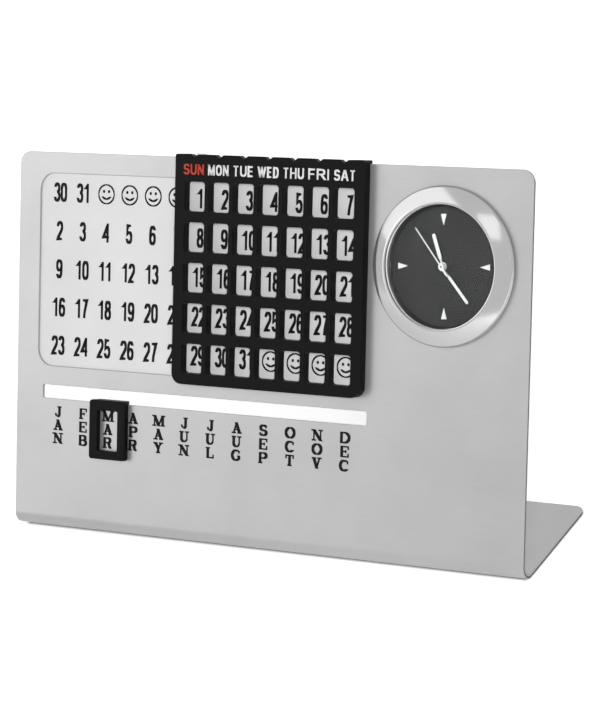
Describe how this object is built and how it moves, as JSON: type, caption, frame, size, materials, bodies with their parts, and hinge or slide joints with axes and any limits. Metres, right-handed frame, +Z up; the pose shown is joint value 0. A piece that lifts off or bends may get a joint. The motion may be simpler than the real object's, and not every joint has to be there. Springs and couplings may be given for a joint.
{
  "type": "perpetual desk calendar",
  "caption": "Free-standing perpetual desk calendar: bent steel stand with a date field, sliding weekday grid, sliding month frame and a press-in quartz clock.",
  "frame": {"origin": "on the desk under the middle of the bounding box", "axes": "+X to the reader's right along the sheet, +Y away from the reader, +Z up"},
  "size_m": [0.194, 0.0586, 0.1181],
  "materials": {
    "sheet_steel": "satin brushed",
    "pad_rubber": "matt",
    "slider_black": "satin moulded",
    "spring_steel": "drawn wire",
    "bezel_metal": "satin lacquered",
    "lens_glass": "polished",
    "dial_grey": "matt lacquer",
    "mark_silver": "bright",
    "train_brass": "bright",
    "train_plastic": "moulded",
    "magnet_dark": "ground",
    "core_steel": "stamped",
    "copper_wire": "enamelled winding",
    "board_green": "solder mask",
    "plate_plastic": "moulded",
    "case_black": "fine textured",
    "cell_steel": "bright",
    "seal_rubber": "matt"
  },
  "bodies": {
    "stand": {"bent_sheet": "sheet_steel", "foot_pads": "pad_rubber", "index_wire": "spring_steel", "wire_saddle": "spring_steel", "clock_bezel": "bezel_metal", "clock_lens": "lens_glass", "spacer_ring": "dial_grey", "dial": "dial_grey", "hour_marks": "mark_silver", "stator": "core_steel", "coil_core": "core_steel", "coil": "copper_wire", "circuit_board": "board_green", "quartz_can": "spring_steel", "front_plate": "plate_plastic", "rear_plate": "plate_plastic", "plate_screws": "spring_steel", "button_cell": "cell_steel", "base_contact": "train_brass", "rim_contact": "train_brass", "clock_case": "case_black", "grip_ring": "seal_rubber"},
    "date_slider": {"date_slider": "slider_black"},
    "month_slider": {"month_slider": "slider_black"},
    "seconds": {"second_hand": "mark_silver", "second_wheel": "plate_plastic"},
    "third": {"third_wheel": "train_plastic"},
    "centre": {"centre_wheel": "train_brass"},
    "intermediate": {"intermediate_wheel": "train_plastic"},
    "rotor": {"rotor": "magnet_dark"},
    "minutes": {"minute_hand": "mark_silver", "minute_pinion": "train_brass"},
    "motion": {"motion_wheel": "train_plastic"},
    "hours": {"hour_hand": "mark_silver", "hour_wheel": "train_brass"},
    "setting": {"setting_knob": "case_black"},
    "battery_cover": {"battery_cover": "case_black"}
  },
  "joints": [
    {"name": "date_slide", "type": "slide", "parent": "stand", "child": "date_slider", "axis": [1, 0, 0], "range_m": [-0.05616, 0]},
    {"name": "month_slide", "type": "slide", "parent": "stand", "child": "month_slider", "axis": [1, 0, 0], "range_m": [-0.02165, 0.09185]},
    {"name": "rotor_turn", "type": "hinge", "parent": "stand", "child": "rotor", "pos_m": [0.05957, 0.01554, 0.08744], "axis": [0, -0.9011, 0.4337], "continuous": true},
    {"name": "intermediate_turn", "type": "hinge", "parent": "stand", "child": "intermediate", "pos_m": [0.06241, 0.01575, 0.0879], "axis": [0, -0.9011, 0.4337], "continuous": true},
    {"name": "seconds_turn", "type": "hinge", "parent": "stand", "child": "seconds", "pos_m": [0.0665, 0.01473, 0.08577], "axis": [0, -0.9011, 0.4337], "continuous": true},
    {"name": "third_turn", "type": "hinge", "parent": "stand", "child": "third", "pos_m": [0.07028, 0.01588, 0.08815], "axis": [0, -0.9011, 0.4337], "continuous": true},
    {"name": "centre_turn", "type": "hinge", "parent": "stand", "child": "centre", "pos_m": [0.0665, 0.01473, 0.08577], "axis": [0, -0.9011, 0.4337], "continuous": true},
    {"name": "minutes_turn", "type": "hinge", "parent": "stand", "child": "minutes", "pos_m": [0.0665, 0.01473, 0.08577], "axis": [0, -0.9011, 0.4337], "continuous": true},
    {"name": "motion_turn", "type": "hinge", "parent": "stand", "child": "motion", "pos_m": [0.0665, 0.01299, 0.08216], "axis": [0, -0.9011, 0.4337], "continuous": true},
    {"name": "hours_turn", "type": "hinge", "parent": "stand", "child": "hours", "pos_m": [0.0665, 0.01473, 0.08577], "axis": [0, -0.9011, 0.4337], "continuous": true},
    {"name": "setting_turn", "type": "hinge", "parent": "stand", "child": "setting", "pos_m": [0.0665, 0.01117, 0.07838], "axis": [0, -0.9011, 0.4337], "continuous": true},
    {"name": "cover_turn", "type": "hinge", "parent": "stand", "child": "battery_cover", "pos_m": [0.075, 0.01733, 0.09117], "axis": [0, -0.9011, 0.4337], "range_deg": [0, 60]}
  ],
  "couplings": [
    {"joint": "intermediate_turn", "follows": "rotor_turn", "ratio": -0.2},
    {"joint": "seconds_turn", "follows": "rotor_turn", "ratio": 0.033333},
    {"joint": "third_turn", "follows": "rotor_turn", "ratio": -0.0055556},
    {"joint": "centre_turn", "follows": "rotor_turn", "ratio": 0.00055556},
    {"joint": "motion_turn", "follows": "minutes_turn", "ratio": -0.33333},
    {"joint": "hours_turn", "follows": "minutes_turn", "ratio": 0.083333},
    {"joint": "setting_turn", "follows": "minutes_turn", "ratio": 0.83333}
  ]
}
